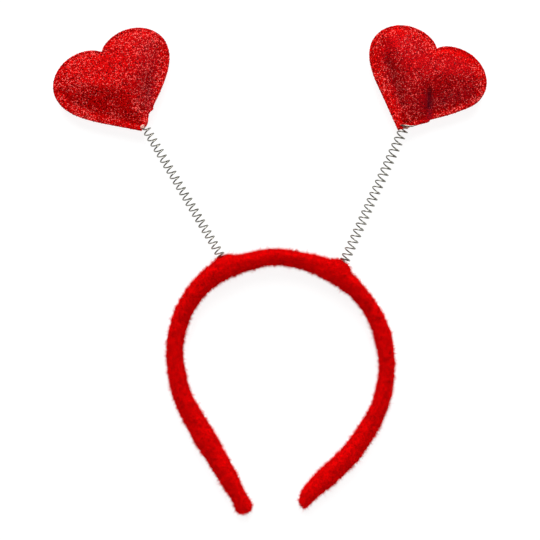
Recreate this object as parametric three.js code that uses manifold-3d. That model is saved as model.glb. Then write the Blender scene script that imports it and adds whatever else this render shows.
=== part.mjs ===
// Heart headband: a plush-covered band with two padded glitter hearts that bob on coil springs.
// It lies on its side. +X points to the right as seen from the front, +Y to the top of the head and
// +Z to the front of the face. The origin is under the crown, on the surface. Millimetres and degrees.

import * as THREE from "three";
import { mergeVertices } from "three/addons/utils/BufferGeometryUtils.js";
import Module from "manifold-3d";

const CLEARANCE = 0.3;
const MERGE_DISTANCE = 1e-4;

// Middle line of the band, from the crown down to each end, as arcs and straight stretches.
const BAND_LINE = {
  left: [
    { radius: 68, sweep: 33 },
    { radius: 45, sweep: 39 },
    { radius: 67, sweep: 48 },
    { straight: 65.6 },
  ],
  right: [
    { radius: 63, sweep: 30 },
    { radius: 59, sweep: 50 },
    { radius: 72, sweep: 56 },
    { straight: 22 },
    { radius: 30, sweep: -20 },
    { straight: 7 },
  ],
};

// Section of the band at a distance along the middle line from the crown: the plush outside and
// inside that line, and its depth from front to back. The swelling near 30 is where a spring stands.
const BAND_SECTIONS = {
  left: [
    { along: 0, outer: 4.5, inner: 4.8, deep: 15.2 },
    { along: 8, outer: 4.6, inner: 4.4, deep: 15.2 },
    { along: 20, outer: 4.2, inner: 5.3, deep: 15.2 },
    { along: 27, outer: 6.3, inner: 5.7, deep: 15.4 },
    { along: 33, outer: 6.7, inner: 5.3, deep: 15.4 },
    { along: 48, outer: 5.6, inner: 5.4, deep: 15 },
    { along: 60, outer: 4.9, inner: 5.0, deep: 14.6 },
    { along: 84, outer: 5.4, inner: 4.0, deep: 14.2 },
    { along: 106, outer: 5.4, inner: 4.5, deep: 14.2 },
    { along: 144, outer: 6.7, inner: 5.6, deep: 14.4 },
    { along: 158, outer: 5.8, inner: 5.4, deep: 14 },
    { along: 170, outer: 5.3, inner: 4.9, deep: 13.4 },
    { along: 181, outer: 4.9, inner: 3.7, deep: 12.8 },
    { along: 187, outer: 5.9, inner: 3.9, deep: 12.4 },
  ],
  right: [
    { along: 0, outer: 4.5, inner: 4.8, deep: 15.2 },
    { along: 14, outer: 4.0, inner: 5.6, deep: 15.2 },
    { along: 27, outer: 4.9, inner: 6.3, deep: 15.2 },
    { along: 32, outer: 6.7, inner: 6.0, deep: 15.4 },
    { along: 37, outer: 7.0, inner: 6.1, deep: 15.4 },
    { along: 42, outer: 5.0, inner: 6.0, deep: 15.2 },
    { along: 51, outer: 4.0, inner: 5.0, deep: 15 },
    { along: 66, outer: 4.5, inner: 4.6, deep: 14.7 },
    { along: 82, outer: 4.9, inner: 4.7, deep: 14.4 },
    { along: 99, outer: 4.7, inner: 3.7, deep: 14.2 },
    { along: 114, outer: 5.1, inner: 4.3, deep: 14.3 },
    { along: 128, outer: 4.7, inner: 4.9, deep: 14.4 },
    { along: 142, outer: 5.2, inner: 5.4, deep: 14.3 },
    { along: 157, outer: 5.9, inner: 5.1, deep: 14.2 },
    { along: 172, outer: 6.1, inner: 5.1, deep: 13.6 },
    { along: 179, outer: 5.4, inner: 4.9, deep: 13.1 },
    { along: 185, outer: 4.2, inner: 5.2, deep: 12.6 },
    { along: 191, outer: 2.1, inner: 4.4, deep: 11.6 },
  ],
};

const BAND_SIDES = 14;
const BAND_STEP = 5.2;
const BAND_SQUARENESS = 2.6;
const BAND_FLAT_DEPTH = 0.6;
const BAND_END_ROUNDING = 3.6;
const BAND_END_STEPS = 4;

// A low cone of plush that a spring's foot pulls up.
const TENT_HEIGHT = 1.5;
const TENT_REACH = 5;
const TENT_FOCUS = 4;

// Springs: where each stands along the band, how it leans outwards, its coil, and how far beside its
// axis, in coil radii, the wire goes into the heart.
const SPRINGS = {
  left: { along: 30.3, lean: 30.5, length: 82, turns: 23.2, coilRadius: 2.4, exit: -1 },
  right: { along: 34.9, lean: 24.2, length: 81.3, turns: 21.6, coilRadius: 2.65, exit: 0 },
};
const WIRE_RADIUS = 0.4;
const WIRE_SIDES = 5;
const WIRE_STEPS_PER_TURN = 10;
const WIRE_LENGTH_SAMPLES_PER_TURN = 60;
const SOCKET_SIDES = 8;
const SPRING_FOOT_GAP = 1.0;
const SPRING_TAIL = 4;
const SPRING_CURL_TURNS = 0.5;
const SPRING_CURL_RISE = 1.3;
const SPRING_HEIGHT = 7;

// Hearts: half the outline in the heart's own frame, from the end of the straight edge at the tip,
// round the side and the lobe, to the notch. Each row has the curve's handles before and after it.
// The tip of the right heart is cut a little askew.
const HEART_LEAN = { left: 26.8, right: 24.8 };
const HEART_TIP = { left: [0, 0], right: [-0.6, -1.2] };
const HEART_KNOTS = [
  { place: "edge", reach: 19, rise: 14.6, before: [0, 0], after: [10.4, 8.5] },
  { place: "side", reach: 35.2, rise: 38.5, before: [0, -8.5], after: [0, 9.5] },
  { place: "lobe", reach: 14.5, rise: 55.6, before: [11, 0], after: [-7, 0] },
  { place: "notch", reach: 0, rise: 50, before: [2, 3], after: [0, 0] },
];
const HEART_CENTRE_RISE = 31;
const HEART_CURVE_STEPS = 6;
const HEART_RINGS = [0.94, 0.87, 0.79, 0.68, 0.54, 0.37, 0.19];

const HEART_MID_HEIGHT = 6.8;
const HEART_RIM = 0.8;
const HEART_MARGIN = 3.6;
const HEART_TIP_SWELL = { height: 0.8, reach: 9 };

// Stuffing of each face: how high it stands over the margin, and where its slopes start and end, in
// from the left and right edges below the heart's widest, and from the top. The slopes meet at
// rounded crests.
const HEART_FRONT = {
  left: { height: 5.8, left: [5.4, 21], right: [3, 15.4], top: [0, 25] },
  right: { height: 6.8, left: [6.3, 16.4], right: [3, 23], top: [0, 19.5] },
};
const HEART_BACK = { height: 6.4, left: [3.5, 14], right: [3.5, 14], top: [0, 20] };
const HEART_WIDEST = 36;
const HEART_HEM = [1.5, 3.8];
const HEART_CREST = 12;

// Middle of the glue in each heart's own frame, a little to the side of the tip.
const HEART_SEAT = {
  left: { across: 0.48, rise: 0.34 },
  right: { across: 2.11, rise: 2.19 },
};

// Creases in the front of each heart, as valleys between two points of the heart's own frame.
const HEART_CREASES = {
  left: [{ from: [30, 39], to: [14.5, 17.5], width: 2.4, depth: 1 }],
  right: [
    { from: [4.5, 28.8], to: [14, 10.4], width: 2, depth: 1.6 },
    { from: [-28, 37], to: [-5, 12], width: 2.3, depth: 1.4 },
  ],
};

// Dabs of hot glue that hold each spring's end in the tip of its heart.
const GLUE = { radius: 1.6, below: 1.2, above: 2, sides: 10, profileSteps: 8 };

const COLOURS = { plush: 0xc4090b, glitter: 0xb9121a, steel: 0x9a9b95, glue: 0xf0c9bf };

const SIDES = { left: -1, right: 1 };
const radians = THREE.MathUtils.degToRad;
const wasm = await Module();
wasm.setup();

function toSolid(geometry) {
  const bare = geometry.clone();
  bare.deleteAttribute("normal");
  bare.deleteAttribute("uv");
  const merged = mergeVertices(bare, MERGE_DISTANCE);
  const corners = Array.from(merged.index.array);
  const triangles = corners.filter((_, i) => {
    const [a, b, c] = corners.slice(i - (i % 3), i - (i % 3) + 3);
    return a !== b && b !== c && c !== a;
  });
  const vertProperties = Float32Array.from(merged.attributes.position.array);
  const triVerts = Uint32Array.from(triangles);
  return new wasm.Manifold(new wasm.Mesh({ numProp: 3, vertProperties, triVerts }));
}

function toGeometry(solid) {
  const mesh = solid.getMesh();
  return meshGeometry(Array.from(mesh.vertProperties), Array.from(mesh.triVerts));
}

function meshGeometry(positions, triangles) {
  const geometry = new THREE.BufferGeometry();
  geometry.setAttribute("position", new THREE.Float32BufferAttribute(positions, 3));
  geometry.setIndex(triangles);
  geometry.computeVertexNormals();
  return geometry;
}

// Value of a column of a table at a distance along, eased between its rows.
function column(rows, name, along) {
  const last = rows[rows.length - 1];
  if (along >= last.along) return last[name];
  const next = rows.findIndex((row) => row.along > along);
  const before = rows[next - 1];
  const after = rows[next];
  const share = THREE.MathUtils.smoothstep(along, before.along, after.along);
  return THREE.MathUtils.lerp(before[name], after[name], share);
}

function pieceLength(piece) {
  return piece.straight ?? piece.radius * Math.abs(radians(piece.sweep));
}

function bandLength(side) {
  return BAND_LINE[side].reduce((sum, piece) => sum + pieceLength(piece), 0);
}

// Point and outward direction of the middle line, at a distance from the crown down one side.
function bandPoint(side, along) {
  const point = new THREE.Vector2(0, 0);
  let heading = 0;
  let remaining = along;
  for (const piece of BAND_LINE[side]) {
    const run = Math.min(remaining, pieceLength(piece));
    const turn = piece.straight ? 0 : (Math.sign(piece.sweep) * run) / piece.radius;
    const chord = turn === 0 ? run : 2 * piece.radius * Math.sin(Math.abs(turn) / 2);
    const middle = heading + turn / 2;
    point.x += SIDES[side] * chord * Math.cos(middle);
    point.y -= chord * Math.sin(middle);
    heading += turn;
    remaining -= run;
    if (remaining <= 0) break;
  }
  const outward = new THREE.Vector2(SIDES[side] * Math.sin(heading), Math.cos(heading));
  return { point, outward };
}

// Distances along one side at which a section stands: every row, even steps between, a rounded end.
function bandStations(side) {
  const rows = BAND_SECTIONS[side];
  const length = bandLength(side);
  const roundingStart = length - BAND_END_ROUNDING;
  const stops = [...rows.map((row) => row.along).filter((along) => along < roundingStart), roundingStart];
  const stations = [];
  for (let i = 0; i + 1 < stops.length; i++) {
    const parts = Math.ceil((stops[i + 1] - stops[i]) / BAND_STEP);
    for (let k = 0; k < parts; k++) {
      stations.push({ along: THREE.MathUtils.lerp(stops[i], stops[i + 1], k / parts), scale: 1 });
    }
  }
  for (let k = 0; k < BAND_END_STEPS; k++) {
    const angle = ((k / BAND_END_STEPS) * Math.PI) / 2;
    stations.push({ along: roundingStart + BAND_END_ROUNDING * Math.sin(angle), scale: Math.cos(angle) });
  }
  return stations;
}

function squaredCircle(angle) {
  const power = 2 / BAND_SQUARENESS;
  const soft = (value) => Math.sign(value) * Math.abs(value) ** power;
  return { across: soft(Math.cos(angle)), up: soft(Math.sin(angle)) };
}

// One section of the band: a soft rectangle, flat where it rests, pulled out under a spring's foot.
function bandSection(side, station) {
  const rows = BAND_SECTIONS[side];
  const { point, outward } = bandPoint(side, station.along);
  const outer = column(rows, "outer", station.along) * station.scale;
  const inner = column(rows, "inner", station.along) * station.scale;
  const halfDeep = column(rows, "deep", station.along) / 2;
  const middle = halfDeep - BAND_FLAT_DEPTH;
  const offTent = (station.along - SPRINGS[side].along) / TENT_REACH;
  const tent = TENT_HEIGHT * Math.exp(-offTent * offTent);
  const ring = [];
  for (let k = 0; k < BAND_SIDES; k++) {
    const angle = -Math.PI / 2 + (2 * Math.PI * k) / BAND_SIDES;
    const { across, up } = squaredCircle(angle);
    const reach = across > 0 ? across * outer + tent * across ** TENT_FOCUS : across * inner;
    const height = Math.max(0, middle + up * halfDeep * station.scale);
    ring.push([point.x + outward.x * reach, point.y + outward.y * reach, height]);
  }
  return ring;
}

// Closed skin over a row of rings with the same number of points, capped at both ends.
function skin(rings) {
  const count = rings[0].length;
  const positions = rings.flat(2);
  const triangles = [];
  for (let i = 0; i + 1 < rings.length; i++) {
    for (let k = 0; k < count; k++) {
      const next = (k + 1) % count;
      const [a, b] = [i * count + k, i * count + next];
      const [c, d] = [a + count, b + count];
      triangles.push(a, b, d, a, d, c);
    }
  }
  const capCentre = (ring) => ring.reduce((sum, p) => sum.map((v, axis) => v + p[axis] / count), [0, 0, 0]);
  const first = positions.length / 3;
  positions.push(...capCentre(rings[0]), ...capCentre(rings[rings.length - 1]));
  const lastRing = (rings.length - 1) * count;
  for (let k = 0; k < count; k++) {
    const next = (k + 1) % count;
    triangles.push(first, next, k, first + 1, lastRing + k, lastRing + next);
  }
  return meshGeometry(positions, triangles);
}

// Foot, directions and top end of a spring, worked out from where it stands on the band.
function springAxis(side) {
  const spring = SPRINGS[side];
  const { point, outward } = bandPoint(side, spring.along);
  const plush = column(BAND_SECTIONS[side], "outer", spring.along) + TENT_HEIGHT;
  const lean = radians(spring.lean);
  const direction = new THREE.Vector3(SIDES[side] * Math.sin(lean), Math.cos(lean), 0);
  const foot = new THREE.Vector3(point.x + outward.x * plush, point.y + outward.y * plush, SPRING_HEIGHT);
  foot.addScaledVector(direction, SPRING_FOOT_GAP);
  const across = new THREE.Vector3(direction.y, -direction.x, 0);
  const behind = new THREE.Vector3().crossVectors(direction, across);
  const tip = foot.clone().addScaledVector(direction, spring.length);
  tip.addScaledVector(across, spring.exit * spring.coilRadius);
  return { foot, direction, across, behind, tip };
}

// Wire of a spring: a straight tail, half a turn that curls out, the coil, half a turn that curls in
// to where the wire leaves, and another tail.
class SpringWire extends THREE.Curve {
  constructor(side) {
    super();
    this.spring = SPRINGS[side];
    this.axis = springAxis(side);
    this.tailTurns = SPRING_TAIL / (2 * Math.PI * this.spring.coilRadius);
    this.allTurns = this.spring.turns + 2 * this.tailTurns;
    this.arcLengthDivisions = WIRE_LENGTH_SAMPLES_PER_TURN * Math.ceil(this.allTurns);
    this.steps = Math.round(this.allTurns * WIRE_STEPS_PER_TURN);
  }

  height(turn) {
    const { length, turns } = this.spring;
    const pitch = (length - 2 * SPRING_CURL_RISE) / (turns - 2 * SPRING_CURL_TURNS);
    const fromEnd = Math.min(turn, turns - turn);
    let rise = SPRING_CURL_RISE + (fromEnd - SPRING_CURL_TURNS) * pitch;
    if (fromEnd < SPRING_CURL_TURNS) rise = (fromEnd / SPRING_CURL_TURNS) * SPRING_CURL_RISE;
    if (fromEnd < 0) rise = (fromEnd / this.tailTurns) * SPRING_TAIL;
    return turn === fromEnd ? rise : length - rise;
  }

  getPoint(share, target = new THREE.Vector3()) {
    const { turns, coilRadius, exit } = this.spring;
    const turn = share * this.allTurns - this.tailTurns;
    const open = THREE.MathUtils.smoothstep(turn, 0, SPRING_CURL_TURNS);
    const coiled = THREE.MathUtils.smoothstep(turns - turn, 0, SPRING_CURL_TURNS);
    const angle = 2 * Math.PI * turn;
    const across = open * coiled * Math.cos(angle) + (1 - coiled) * exit;
    const behind = open * coiled * Math.sin(angle);
    target.copy(this.axis.foot).addScaledVector(this.axis.direction, this.height(turn));
    target.addScaledVector(this.axis.across, coilRadius * across);
    return target.addScaledVector(this.axis.behind, coilRadius * behind);
  }
}

function roundShape(radius, sides) {
  const corners = [];
  for (let k = 0; k < sides; k++) {
    const angle = (2 * Math.PI * k) / sides;
    corners.push(new THREE.Vector2(radius * Math.cos(angle), radius * Math.sin(angle)));
  }
  return new THREE.Shape(corners);
}

function springGeometry(side) {
  const wire = new SpringWire(side);
  const section = roundShape(WIRE_RADIUS, WIRE_SIDES);
  return new THREE.ExtrudeGeometry(section, { extrudePath: wire, steps: wire.steps, bevelEnabled: false });
}

// Turns a shape made along +Y, with its foot at the origin, to a place and direction in the plan.
function placeAlong(geometry, place, lean) {
  return geometry.rotateZ(-lean).translate(place.x, place.y, place.z);
}

function springLean(side) {
  return SIDES[side] * radians(SPRINGS[side].lean);
}

// Socket for a spring's tail, straight along the spring's axis on both sides of a point.
function tailSocket(side, place) {
  const length = 2 * (SPRING_TAIL + CLEARANCE);
  const radius = WIRE_RADIUS + CLEARANCE;
  const socket = new THREE.CylinderGeometry(radius, radius, length, SOCKET_SIDES);
  return toSolid(placeAlong(socket, place, springLean(side)));
}

function bandGeometry() {
  const leftSide = bandStations("left").map((station) => bandSection("left", station));
  const rightSide = bandStations("right").map((station) => bandSection("right", station));
  let band = toSolid(skin([...leftSide.reverse(), ...rightSide.slice(1)]));
  for (const side of Object.keys(SIDES)) {
    band = band.subtract(tailSocket(side, springAxis(side).foot));
  }
  return toGeometry(band);
}

// Right half of a heart's outline in its own frame: a straight lower edge, a round side and lobe.
function heartHalf(tip) {
  const [edge, ...round] = HEART_KNOTS;
  const half = new THREE.Path();
  half.moveTo(...tip);
  half.lineTo(edge.reach, edge.rise);
  let last = edge;
  for (const knot of round) {
    half.bezierCurveTo(
      last.reach + last.after[0], last.rise + last.after[1],
      knot.reach + knot.before[0], knot.rise + knot.before[1],
      knot.reach, knot.rise,
    );
    last = knot;
  }
  const points = half.curves.flatMap((curve) => curve.getSpacedPoints(HEART_CURVE_STEPS).slice(0, -1));
  return [...points, new THREE.Vector2(last.reach, last.rise)];
}

// Whole outline, from the tip up the right, over the notch and down the left.
function heartOutline(side) {
  const [across, rise] = HEART_TIP[side];
  const right = heartHalf([across, rise]);
  const left = heartHalf([-across, rise]).slice(1, -1).reverse();
  return [...right, ...left.map((p) => new THREE.Vector2(-p.x, p.y))];
}

function distanceToSegment(point, from, to) {
  const segment = new THREE.Line3(
    new THREE.Vector3(from[0], from[1], 0),
    new THREE.Vector3(to[0], to[1], 0),
  );
  const here = new THREE.Vector3(point.x, point.y, 0);
  return segment.closestPointToPoint(here, true, new THREE.Vector3()).distanceTo(here);
}

// Distance of a point to the edges of an outline whose first corner is chosen.
function distanceToOutline(point, outline, chosen = () => true) {
  const edges = outline.map((corner, i) => [corner, outline[(i + 1) % outline.length]]);
  const near = edges.filter(([corner]) => chosen(corner));
  return Math.min(...near.map(([from, to]) => distanceToSegment(point, from.toArray(), to.toArray())));
}

// Height of a stuffed face over the margin, as a share: the lowest of its slopes, rounded at the crests.
function stuffedShare(stuffing, point, outline) {
  const lobe = HEART_KNOTS.find((knot) => knot.place === "lobe");
  const isLower = (corner) => corner.y < HEART_WIDEST;
  const isShoulder = (corner) => !isLower(corner) && Math.abs(corner.x) >= lobe.reach;
  const left = distanceToOutline(point, outline, (corner) => isLower(corner) && corner.x < 0);
  const right = distanceToOutline(point, outline, (corner) => isLower(corner) && corner.x >= 0);
  const shoulder = distanceToOutline(point, outline, isShoulder);
  const overNotch = distanceToSegment(point, [-lobe.reach, lobe.rise], [lobe.reach, lobe.rise]);
  const slope = (depth, [start, end]) => (depth - start) / (end - start);
  const slopes = [
    slope(left, stuffing.left),
    slope(right, stuffing.right),
    slope(Math.min(shoulder, overNotch), stuffing.top),
    1,
  ];
  const spread = slopes.reduce((sum, part) => sum + Math.exp(-HEART_CREST * part), 0);
  const lowest = -Math.log(spread) / HEART_CREST;
  const hem = THREE.MathUtils.smoothstep(distanceToOutline(point, outline), ...HEART_HEM);
  return hem * Math.max(0, lowest);
}

// Height of a heart's face over its mid-plane: a thin margin, the stuffed middle, creases in front.
function heartHeight(side, face, point, outline) {
  const stuffing = face === "front" ? HEART_FRONT[side] : HEART_BACK;
  const fromTip = point.length() / HEART_TIP_SWELL.reach;
  let height = HEART_RIM + stuffing.height * stuffedShare(stuffing, point, outline);
  height += HEART_TIP_SWELL.height * Math.exp(-fromTip * fromTip);
  if (face === "front") {
    const heldBack = Math.min(1, distanceToOutline(point, outline) / HEART_MARGIN);
    for (const crease of HEART_CREASES[side]) {
      const off = distanceToSegment(point, crease.from, crease.to) / crease.width;
      height -= crease.depth * Math.exp(-off * off) * heldBack;
    }
  }
  return Math.max(HEART_RIM, height);
}

// Padded heart: rings from the outline to the centre on both faces, its back flat where it rests.
function heartSolid(side) {
  const outline = heartOutline(side);
  const centre = new THREE.Vector2(0, HEART_CENTRE_RISE);
  const faceRings = (face) => [1, ...HEART_RINGS].map((share) => outline.map((corner) => {
    const point = centre.clone().lerp(corner, share);
    const height = heartHeight(side, face, point, outline);
    const z = face === "front" ? HEART_MID_HEIGHT + height : Math.max(0, HEART_MID_HEIGHT - height);
    return [point.x, point.y, z];
  }));
  return toSolid(skin([...faceRings("back").reverse(), ...faceRings("front")]));
}

// Egg-shaped dab turned about the spring's axis: a ring round a hole, or whole if the hole is nothing.
function eggGeometry(extra, hole) {
  const radius = GLUE.radius + extra;
  const mouth = Math.acos(hole / radius);
  const profile = [];
  for (let k = 0; k <= GLUE.profileSteps; k++) {
    const angle = THREE.MathUtils.lerp(-mouth, mouth, k / GLUE.profileSteps);
    const end = (angle < 0 ? GLUE.below : GLUE.above) + extra;
    profile.push(new THREE.Vector2(radius * Math.cos(angle), end * Math.sin(angle)));
  }
  if (hole > 0) profile.push(profile[0].clone());
  return new THREE.LatheGeometry(profile, GLUE.sides);
}

function gluePlace(side) {
  const { tip, direction } = springAxis(side);
  return tip.clone().addScaledVector(direction, GLUE.below + CLEARANCE + WIRE_RADIUS);
}

function heartGeometry(side) {
  const place = gluePlace(side);
  const lean = SIDES[side] * radians(HEART_LEAN[side]);
  const { across, rise } = HEART_SEAT[side];
  const heart = toGeometry(heartSolid(side)).translate(-across, -rise, 0);
  const solid = toSolid(placeAlong(heart, new THREE.Vector3(place.x, place.y, 0), lean));
  const glueSeat = toSolid(placeAlong(eggGeometry(CLEARANCE, 0), place, springLean(side)));
  return toGeometry(solid.subtract(glueSeat).subtract(tailSocket(side, springAxis(side).tip)));
}

function addPiece(group, name, geometry, look) {
  const piece = new THREE.Mesh(geometry, new THREE.MeshStandardMaterial(look));
  piece.name = name;
  group.add(piece);
}

const headband = new THREE.Group();
addPiece(headband, "band", bandGeometry(), { color: COLOURS.plush, roughness: 0.95, metalness: 0 });
for (const side of Object.keys(SIDES)) {
  const glue = placeAlong(eggGeometry(0, WIRE_RADIUS + CLEARANCE), gluePlace(side), springLean(side));
  const steel = { color: COLOURS.steel, roughness: 0.35, metalness: 1 };
  const glitter = { color: COLOURS.glitter, roughness: 0.4, metalness: 0.5 };
  addPiece(headband, `spring_${side}`, springGeometry(side), steel);
  addPiece(headband, `heart_${side}`, heartGeometry(side), glitter);
  addPiece(headband, `glue_${side}`, glue, { color: COLOURS.glue, roughness: 0.3, metalness: 0 });
}

export default headband;
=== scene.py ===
"""Looks of a heart headband: a plush band, two padded glitter hearts and the coil springs they bob on.

Sizes are in millimetres and degrees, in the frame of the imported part, and become metres in the meshes.
"""

import math
from collections import namedtuple

import bmesh
import bpy
import numpy as np
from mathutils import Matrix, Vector, noise
from mathutils.geometry import delaunay_2d_cdt


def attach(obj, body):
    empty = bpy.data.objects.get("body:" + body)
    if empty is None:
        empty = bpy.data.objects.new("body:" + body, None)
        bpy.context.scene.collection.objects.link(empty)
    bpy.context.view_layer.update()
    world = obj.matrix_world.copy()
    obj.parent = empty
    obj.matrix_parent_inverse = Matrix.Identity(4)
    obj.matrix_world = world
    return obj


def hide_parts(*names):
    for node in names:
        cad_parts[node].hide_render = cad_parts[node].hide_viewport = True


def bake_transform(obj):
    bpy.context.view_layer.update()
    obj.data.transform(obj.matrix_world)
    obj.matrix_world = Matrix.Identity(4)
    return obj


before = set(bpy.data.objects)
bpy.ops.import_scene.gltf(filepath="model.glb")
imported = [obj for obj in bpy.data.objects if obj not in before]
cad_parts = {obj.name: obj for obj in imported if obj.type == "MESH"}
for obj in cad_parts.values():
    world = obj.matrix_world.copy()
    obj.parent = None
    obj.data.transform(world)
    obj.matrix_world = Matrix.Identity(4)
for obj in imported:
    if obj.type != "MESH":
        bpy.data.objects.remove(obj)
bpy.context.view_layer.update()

MM = 0.001
SIDES = {"left": -1, "right": 1}

# Middle line of the band, from the crown down to each end, as arcs and straight stretches.
Arc = namedtuple("Arc", "radius sweep")
Straight = namedtuple("Straight", "length")
BAND_LINE = {
    "left": [Arc(68, 33), Arc(45, 39), Arc(67, 48), Straight(65.6)],
    "right": [Arc(63, 30), Arc(59, 50), Arc(72, 56), Straight(22), Arc(30, -20), Straight(7)],
}

# Section at a distance along that line: plush outside and inside it, and depth from front to back.
Section = namedtuple("Section", "along outer inner deep")
BAND_SECTIONS = {
    "left": [
        Section(0, 4.5, 4.8, 15.2),
        Section(8, 4.6, 4.4, 15.2),
        Section(20, 4.2, 5.3, 15.2),
        Section(27, 6.3, 5.7, 15.4),
        Section(33, 6.7, 5.3, 15.4),
        Section(48, 5.6, 5.4, 15),
        Section(60, 4.9, 5.0, 14.6),
        Section(84, 5.4, 4.0, 14.2),
        Section(106, 5.4, 4.5, 14.2),
        Section(144, 6.7, 5.6, 14.4),
        Section(158, 5.8, 5.4, 14),
        Section(170, 5.3, 4.9, 13.4),
        Section(181, 4.9, 3.7, 12.8),
        Section(187, 5.9, 3.9, 12.4),
    ],
    "right": [
        Section(0, 4.5, 4.8, 15.2),
        Section(14, 4.0, 5.6, 15.2),
        Section(27, 4.9, 6.3, 15.2),
        Section(32, 6.7, 6.0, 15.4),
        Section(37, 7.0, 6.1, 15.4),
        Section(42, 5.0, 6.0, 15.2),
        Section(51, 4.0, 5.0, 15),
        Section(66, 4.5, 4.6, 14.7),
        Section(82, 4.9, 4.7, 14.4),
        Section(99, 4.7, 3.7, 14.2),
        Section(114, 5.1, 4.3, 14.3),
        Section(128, 4.7, 4.9, 14.4),
        Section(142, 5.2, 5.4, 14.3),
        Section(157, 5.9, 5.1, 14.2),
        Section(172, 6.1, 5.1, 13.6),
        Section(179, 5.4, 4.9, 13.1),
        Section(185, 4.2, 5.2, 12.6),
        Section(191, 2.1, 4.4, 11.6),
    ],
}

# Skin of the band: points round a section, step between sections, how square and how flat below it is.
BAND_SIDES = 52
BAND_STEP = 1.0
BAND_SQUARENESS = 2.6
BAND_FLAT_DEPTH = 0.6
BAND_END_ROUNDING = 3.6
BAND_END_STEPS = 9

# Tent of plush round each spring's foot: how far it stands out and reaches, and how narrow it is.
TENT_HEIGHT = 1.5
TENT_REACH = 5
TENT_FOCUS = 4

# Lumps of the padding under the plush: size of a lump and how far it stands out.
Lump = namedtuple("Lump", "size height")
BAND_LUMPS = [Lump(11, 0.4), Lump(4.5, 0.25), Lump(2.2, 0.6)]

# Pile of the plush: the skin lies this deep under the tips. Fibres stand on it in layers.
PILE_DEPTH = 0.65
Pile = namedtuple("Pile", "name per_square_mm length width spread tuft seed")
PILES = [
    Pile("undercoat", 1.8, 0.9, 0.24, 0.7, 1.2, 11),
    Pile("pile_a", 2.7, 1.5, 0.16, 0.6, 2.0, 12),
    Pile("pile_b", 2.7, 1.6, 0.16, 0.7, 2.2, 13),
    Pile("stray_hairs", 1.1, 2.6, 0.22, 1.0, 2.2, 14),
]
FIBRE_CORNERS = 3
FIBRE_SUNK = 0.1
FIBRE_FLOOR_GAP = 0.02

# Random widths and lengths of fibres and flakes, as shares of their plain size.
RANDOM_WIDTHS = (0.7, 1.3)
RANDOM_LENGTHS = (0.6, 1.2)

# Each random draw has a seed of its own, this far from the seed of the scatter.
SEED_SHIFTS = {"lean": 1, "spin": 2, "shade": 3, "width": 4, "length": 5}

# Tufts in which the fibres lean together, tufts of one length, and how much longer some are.
TUFT_SIZE = 2.0
TUFT_LENGTH_SIZE = 1.2
TUFT_LENGTH_SHARE = 0.75
TUFT_DETAIL = 1

# Shade of the fibres: blots, and painted shade where the skin lies level, which leaves the band's edges
# lighter as a painted sheen.
SHADE_SIZE = 2.4
SHADE_RANGE = (0.35, 0.65)
SHADE_BLOTS = 0.8
PAINTED_SHADE_LEVEL = 0.5
PAINTED_SHADE_LEVEL_RANGE = (0.75, 1)

# Springs: place along the band, lean, length, coil radius, and where the heart sits on the coil.
Spring = namedtuple("Spring", "along lean length coil exit")
SPRINGS = {
    "left": Spring(30.3, 30.5, 82, 2.4, -1),
    "right": Spring(34.9, 24.2, 81.3, 2.65, 0),
}

# Coil as it shows: how far it is sunk in the plush, height of a turn, turns in all, the part of a turn by
# which it starts early, and the wire's end on the heart: its rise, and its place across and in front, both
# in coil radii.
Coil = namedtuple("Coil", "sunk pitch turns phase end_rise end_across end_front")
COILS = {
    "left": Coil(1.34, 3.582, 24.23, 0.244, 1.6, -0.61, 0.44),
    "right": Coil(0.86, 3.816, 22.725, 0.275, 3.2, 1.66, 0.84),
}
WIRE_RADIUS = 0.4
WIRE_SIDES = 10
WIRE_STEPS_PER_TURN = 28
SPRING_FOOT_GAP = 1.0
SPRING_TAIL = 4
SPRING_OPEN_TURNS = 0.25
SPRING_CURL_TURNS = 0.75
SPRING_CURL_RISE = 1.3
SPRING_END_TURNS = 0.5
SPRING_HEIGHT = 7

# Hearts: half the outline in the heart's own frame, with the curve's handles before and after a knot.
HEART_LEAN = {"left": 26.8, "right": 24.8}
HEART_TIP = {"left": (0, 0), "right": (-0.6, -1.2)}
LOBE_TOP = (14.5, 55.6)
Knot = namedtuple("Knot", "place before after")
HEART_KNOTS = [
    Knot((19, 14.6), (0, 0), (10.4, 8.5)),
    Knot((35.2, 38.5), (0, -8.5), (0, 9.5)),
    Knot(LOBE_TOP, (11, 0), (-7, 0)),
    Knot((0, 50), (2, 3), (0, 0)),
]
HEART_WIDEST = 36
HEART_CURVE_SAMPLES = 60

# Sheet of a heart: space between its points, and the least space to the outline as a share of that.
HEART_SPACING = 0.8
HEART_EDGE_SHARE = 0.6
SHEET_INSIDE = 1
SHEET_TOLERANCE = 1e-6

# Heights of a heart: its mid-plane over the floor, half its thickness at the rim, and its swollen tip.
HEART_MID_HEIGHT = 6.8
HEART_FLOOR_GAP = 0.05
HEART_RIM = 0.5
HEART_MARGIN = 3.6
HEART_TIP_SWELL = 0.6
HEART_TIP_REACH = 9

# Stuffing: how high it stands over the margin, where its slopes start and end, in from each lower edge and
# from the top, and how much fuller it is within some reaches of the tip. The slopes meet at rounded crests.
Stuffing = namedtuple("Stuffing", "height left right top tip_fullness")
HEART_FRONT = {
    "left": Stuffing(5.8, (5.4, 21), (3, 15.4), 25, 0.6),
    "right": Stuffing(6.8, (6.3, 16.4), (3, 23), 19.5, 0.6),
}
HEART_BACK = Stuffing(6.4, (3.5, 14), (3.5, 14), 20, 0.3)
HEART_HEM = (1.5, 3.8)
HEART_CREST = 12
FULL_TIP_REACHES = 1.6

# Flaws of the cut on the right-hand edge of a heart, by distance from the tip along that edge.
Flaw = namedtuple("Flaw", "start rise end fall out")
HEART_FLAWS = {
    "left": [Flaw(1, 3, 5, 5, 1.3), Flaw(9.5, 1.2, 11, 1.2, -0.5), Flaw(12.8, 1, 14, 1.4, 0.9)],
    "right": [Flaw(18.3, 0.5, 36, 14, -1.1)],
}
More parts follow.
